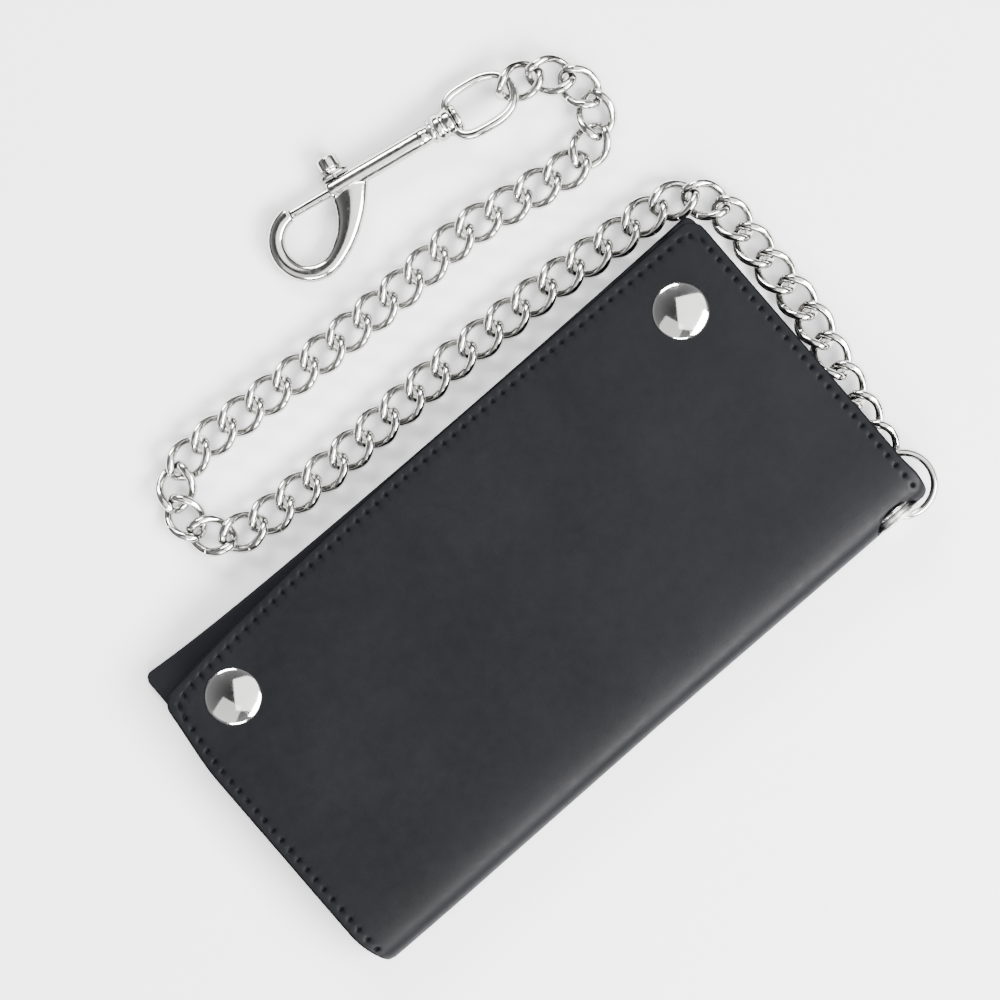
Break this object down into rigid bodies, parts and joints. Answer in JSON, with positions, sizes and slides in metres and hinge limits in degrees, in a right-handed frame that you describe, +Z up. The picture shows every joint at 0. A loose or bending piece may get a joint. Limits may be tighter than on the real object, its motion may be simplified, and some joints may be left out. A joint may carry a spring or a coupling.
{
  "type": "chain wallet",
  "caption": "Long bifold leather wallet closed by two snaps, with inner pockets and a curb chain from a ringed eyelet in its fold to a swivel bolt snap hook.",
  "frame": {"origin": "centre of the back cover's outer face, on the table", "axes": "+X along the fold toward the eyelet's end, +Y from the fold to the free edge, +Z up through the closed wallet"},
  "size_m": [0.1982, 0.1711, 0.0148],
  "materials": {
    "cover_leather": "smooth black, soft sheen",
    "inner_leather": "matt black",
    "bright_steel": "nickel plated, polished",
    "plain_steel": "plain"
  },
  "bodies": {
    "back": {"back_cover": "cover_leather", "spine": "cover_leather", "bill_pocket": "inner_leather", "slip_pocket": "inner_leather", "stud_patch_left": "inner_leather", "stud_patch_right": "inner_leather", "stud_post_left": "bright_steel", "stud_post_right": "bright_steel", "snap_stud_left": "bright_steel", "snap_stud_right": "bright_steel", "eyelet": "bright_steel", "eyelet_washer": "plain_steel"},
    "front": {"front_cover": "cover_leather", "card_base": "inner_leather", "card_pocket_1": "inner_leather", "card_pocket_2": "inner_leather", "card_pocket_3": "inner_leather", "snap_socket_left": "plain_steel", "snap_socket_right": "plain_steel", "snap_cap_left": "bright_steel", "snap_cap_right": "bright_steel"},
    "ring": {"chain_ring": "bright_steel"},
    "chain_01": {"chain_01": "bright_steel"},
    "chain_02": {"chain_02": "bright_steel"},
    "chain_03": {"chain_03": "bright_steel"},
    "chain_04": {"chain_04": "bright_steel"},
    "chain_05": {"chain_05": "bright_steel"},
    "chain_06": {"chain_06": "bright_steel"},
    "chain_07": {"chain_07": "bright_steel"},
    "chain_08": {"chain_08": "bright_steel"},
    "chain_09": {"chain_09": "bright_steel"},
    "chain_10": {"chain_10": "bright_steel"},
    "chain_11": {"chain_11": "bright_steel"},
    "chain_12": {"chain_12": "bright_steel"},
    "chain_13": {"chain_13": "bright_steel"},
    "chain_14": {"chain_14": "bright_steel"},
    "chain_15": {"chain_15": "bright_steel"},
    "chain_16": {"chain_16": "bright_steel"},
    "chain_17": {"chain_17": "bright_steel"},
    "chain_18": {"chain_18": "bright_steel"},
    "chain_19": {"chain_19": "bright_steel"},
    "chain_20": {"chain_20": "bright_steel"},
    "chain_21": {"chain_21": "bright_steel"},
    "chain_22": {"chain_22": "bright_steel"},
    "chain_23": {"chain_23": "bright_steel"},
    "chain_24": {"chain_24": "bright_steel"},
    "chain_25": {"chain_25": "bright_steel"},
    "chain_26": {"chain_26": "bright_steel"},
    "bail": {"swivel_bail": "bright_steel"},
    "hook": {"hook_body": "bright_steel", "swivel_post": "bright_steel", "bolt_spring": "plain_steel"},
    "bolt": {"bolt": "plain_steel", "thumb_knob": "bright_steel"}
  },
  "joints": [
    {"name": "cover_fold", "type": "hinge", "parent": "back", "child": "front", "pos_m": [0, -0.046, 0.011], "axis": [1, 0, 0], "range_deg": [0, 183]},
    {"name": "ring_swing", "type": "hinge", "parent": "back", "child": "ring", "pos_m": [0.082, -0.046, 0.0064], "axis": [0, 0, 1], "range_deg": [-12, 0]},
    {"name": "link_on_ring", "type": "hinge", "parent": "ring", "child": "chain_01", "pos_m": [0.08858, -0.04111, 0.0064], "axis": [0, 0, -1], "range_deg": [0, 78]},
    {"name": "link_bend_01", "type": "hinge", "parent": "chain_01", "child": "chain_02", "pos_m": [0.09542, -0.00844, 0.00544], "axis": [0, 0, -1], "range_deg": [0, 6]},
    {"name": "link_bend_02", "type": "hinge", "parent": "chain_02", "child": "chain_03", "pos_m": [0.09935, 0.00861, 0.00354], "axis": [0, 0, -1], "range_deg": [0, 11]},
    {"name": "link_bend_03", "type": "hinge", "parent": "chain_03", "child": "chain_04", "pos_m": [0.09966, 0.01738, 0.0029], "axis": [0, 0, -1], "range_deg": [0, 6]},
    {"name": "link_bend_04", "type": "hinge", "parent": "chain_04", "child": "chain_05", "pos_m": [0.10035, 0.04377, 0.0029], "axis": [0, 0, -1], "range_deg": [0, 31]},
    {"name": "link_bend_05", "type": "hinge", "parent": "chain_05", "child": "chain_06", "pos_m": [0.09602, 0.05143, 0.0029], "axis": [0, 0, -1], "range_deg": [0, 40.5]},
    {"name": "link_bend_06", "type": "hinge", "parent": "chain_06", "child": "chain_07", "pos_m": [0.08775, 0.05444, 0.0029], "axis": [0, 0, -1], "range_deg": [0, 17]},
    {"name": "link_bend_07", "type": "hinge", "parent": "chain_07", "child": "chain_08", "pos_m": [0.07896, 0.0549, 0.0029], "axis": [0, 0, -1], "range_deg": [0, 6]},
    {"name": "link_bend_08", "type": "hinge", "parent": "chain_08", "child": "chain_09", "pos_m": [0.05268, 0.05743, 0.0029], "axis": [0, 0, -1], "range_deg": [0, 6]},
    {"name": "link_bend_09", "type": "hinge", "parent": "chain_09", "child": "chain_10", "pos_m": [0.01751, 0.05896, 0.0029], "axis": [0, 0, -1], "range_deg": [0, 6]},
    {"name": "link_bend_10", "type": "hinge", "parent": "chain_10", "child": "chain_11", "pos_m": [-0.01768, 0.05835, 0.0029], "axis": [0, 0, -1], "range_deg": [0, 6]},
    {"name": "link_bend_11", "type": "hinge", "parent": "chain_11", "child": "chain_12", "pos_m": [-0.04405, 0.0595, 0.0029], "axis": [0, 0, 1], "range_deg": [0, 11.5]},
    {"name": "link_bend_12", "type": "hinge", "parent": "chain_12", "child": "chain_13", "pos_m": [-0.05259, 0.06163, 0.0029], "axis": [0, 0, 1], "range_deg": [0, 40]},
    {"name": "link_bend_13", "type": "hinge", "parent": "chain_13", "child": "chain_14", "pos_m": [-0.05777, 0.06875, 0.0029], "axis": [0, 0, 1], "range_deg": [0, 40]},
    {"name": "link_bend_14", "type": "hinge", "parent": "chain_14", "child": "chain_15", "pos_m": [-0.05715, 0.07753, 0.0029], "axis": [0, 0, 1], "range_deg": [0, 40.5]},
    {"name": "link_bend_15", "type": "hinge", "parent": "chain_15", "child": "chain_16", "pos_m": [-0.05098, 0.0838, 0.0029], "axis": [0, 0, 1], "range_deg": [0, 40]},
    {"name": "link_bend_16", "type": "hinge", "parent": "chain_16", "child": "chain_17", "pos_m": [-0.04222, 0.08465, 0.0029], "axis": [0, 0, 1], "range_deg": [0, 9.5]},
    {"name": "link_bend_17", "type": "hinge", "parent": "chain_17", "child": "chain_18", "pos_m": [-0.00711, 0.08219, 0.0029], "axis": [0, 0, 1], "range_deg": [0, 6]},
    {"name": "link_bend_18", "type": "hinge", "parent": "chain_18", "child": "chain_19", "pos_m": [0.01928, 0.0815, 0.0029], "axis": [0, 0, 1], "range_deg": [0, 6]},
    {"name": "link_bend_19", "type": "hinge", "parent": "chain_19", "child": "chain_20", "pos_m": [0.04567, 0.08219, 0.0029], "axis": [0, 0, 1], "range_deg": [0, 11.5]},
    {"name": "link_bend_20", "type": "hinge", "parent": "chain_20", "child": "chain_21", "pos_m": [0.07167, 0.07761, 0.0029], "axis": [0, 0, 1], "range_deg": [0, 6]},
    {"name": "link_bend_21", "type": "hinge", "parent": "chain_21", "child": "chain_22", "pos_m": [0.08036, 0.07623, 0.0029], "axis": [0, 0, -1], "range_deg": [0, 27.5]},
    {"name": "link_bend_22", "type": "hinge", "parent": "chain_22", "child": "chain_23", "pos_m": [0.08871, 0.07902, 0.0029], "axis": [0, 0, -1], "range_deg": [0, 40]},
    {"name": "link_bend_23", "type": "hinge", "parent": "chain_23", "child": "chain_24", "pos_m": [0.0933, 0.08653, 0.0029], "axis": [0, 0, -1], "range_deg": [0, 40.5]},
    {"name": "link_bend_24", "type": "hinge", "parent": "chain_24", "child": "chain_25", "pos_m": [0.09193, 0.09522, 0.0029], "axis": [0, 0, -1], "range_deg": [0, 36]},
    {"name": "link_bend_25", "type": "hinge", "parent": "chain_25", "child": "chain_26", "pos_m": [0.08573, 0.10142, 0.00367], "axis": [0, 0, -1], "range_deg": [0, 34]},
    {"name": "bail_lift", "type": "hinge", "parent": "chain_26", "child": "bail", "pos_m": [0.07814, 0.1029, 0.00477], "axis": [0.1822, 0.9833, 0], "range_deg": [0, 70]},
    {"name": "hook_swivel", "type": "hinge", "parent": "bail", "child": "hook", "pos_m": [0.05848, 0.10654, 0.00411], "axis": [-0.9827, 0.1821, -0.033], "continuous": true},
    {"name": "bolt_pull", "type": "slide", "parent": "hook", "child": "bolt", "axis": [0.9827, -0.1821, 0.033], "range_m": [0, 0.009], "stiffness_N_per_m": 300, "springref_m": -0.005, "deforming": ["bolt_spring"]}
  ]
}
